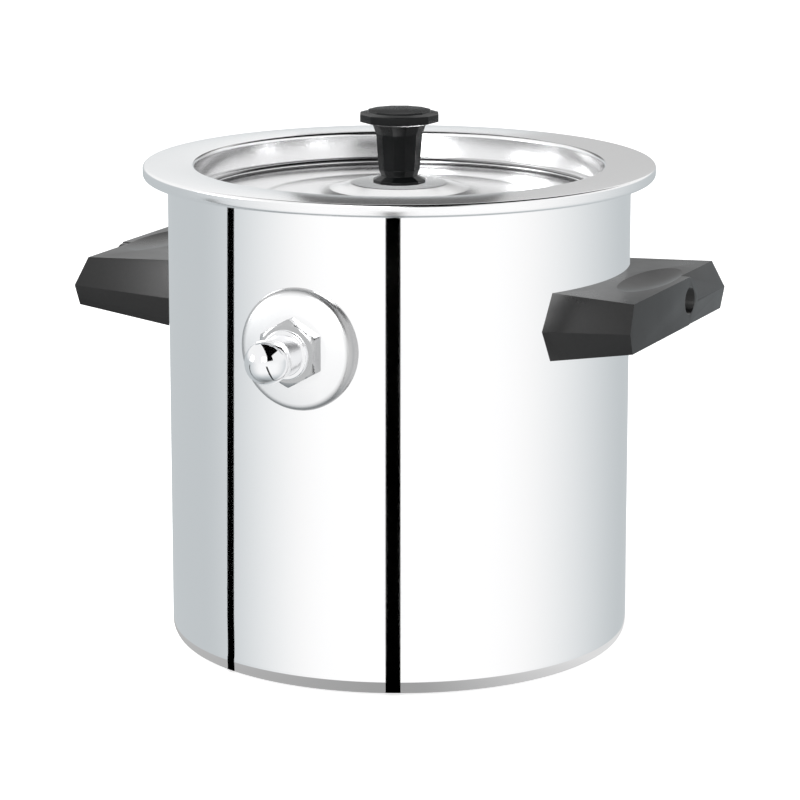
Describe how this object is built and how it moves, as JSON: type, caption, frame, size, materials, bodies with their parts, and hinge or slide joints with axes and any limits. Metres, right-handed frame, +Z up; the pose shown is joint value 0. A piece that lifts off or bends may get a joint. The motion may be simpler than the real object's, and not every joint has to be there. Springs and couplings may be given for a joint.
{
  "type": "steam-jacketed milk boiler",
  "caption": "Small double-walled milk boiler: steel pot hung in a water jacket, recessed lid with knob, two black side handles and a pull-off steam whistle on the filler spout.",
  "frame": {"origin": "centre of the flat underside of the outer shell, on the axis of the vessels", "axes": "+Z up through the vessels and the lid's knob, -Y out through the filler spout and whistle, +X and -X through the handles"},
  "size_m": [0.207, 0.1991, 0.1867],
  "materials": {
    "polished_steel": "mirror-polished stainless steel",
    "vessel_steel": "satin-polished stainless steel, spun",
    "lid_steel": "satin-polished stainless steel, spun",
    "bakelite": "black moulded bakelite, soft gloss",
    "chrome": "bright chrome plate",
    "brass": "turned brass",
    "plain_steel": "zinc-plated steel",
    "sealing_rubber": "matt silicone rubber"
  },
  "bodies": {
    "boiler": {"outer_shell": "polished_steel", "inner_vessel": "vessel_steel", "filler_spout": "brass", "spout_gasket": "sealing_rubber", "spout_packing": "sealing_rubber", "escutcheon": "chrome", "lock_nut": "chrome", "spout_ring": "sealing_rubber", "handle_left": "bakelite", "handle_bracket_left": "plain_steel", "handle_nut_left": "plain_steel", "handle_washer_left": "plain_steel", "handle_screw_left": "plain_steel", "handle_right": "bakelite", "handle_bracket_right": "plain_steel", "handle_nut_right": "plain_steel", "handle_washer_right": "plain_steel", "handle_screw_right": "plain_steel"},
    "lid": {"lid": "lid_steel", "knob": "bakelite", "knob_insert": "brass", "knob_washer": "plain_steel", "knob_screw": "plain_steel"},
    "whistle": {"whistle_body": "chrome", "whistle_cap": "chrome", "whistle_rear_plate": "brass", "whistle_spacer": "brass", "whistle_front_plate": "brass"}
  },
  "joints": [
    {"name": "lid_lift", "type": "slide", "parent": "boiler", "child": "lid", "axis": [0, 0, 1], "range_m": [0, 0.06]},
    {"name": "whistle_pull", "type": "slide", "parent": "boiler", "child": "whistle", "axis": [0, -1, 0], "range_m": [0, 0.03]}
  ]
}
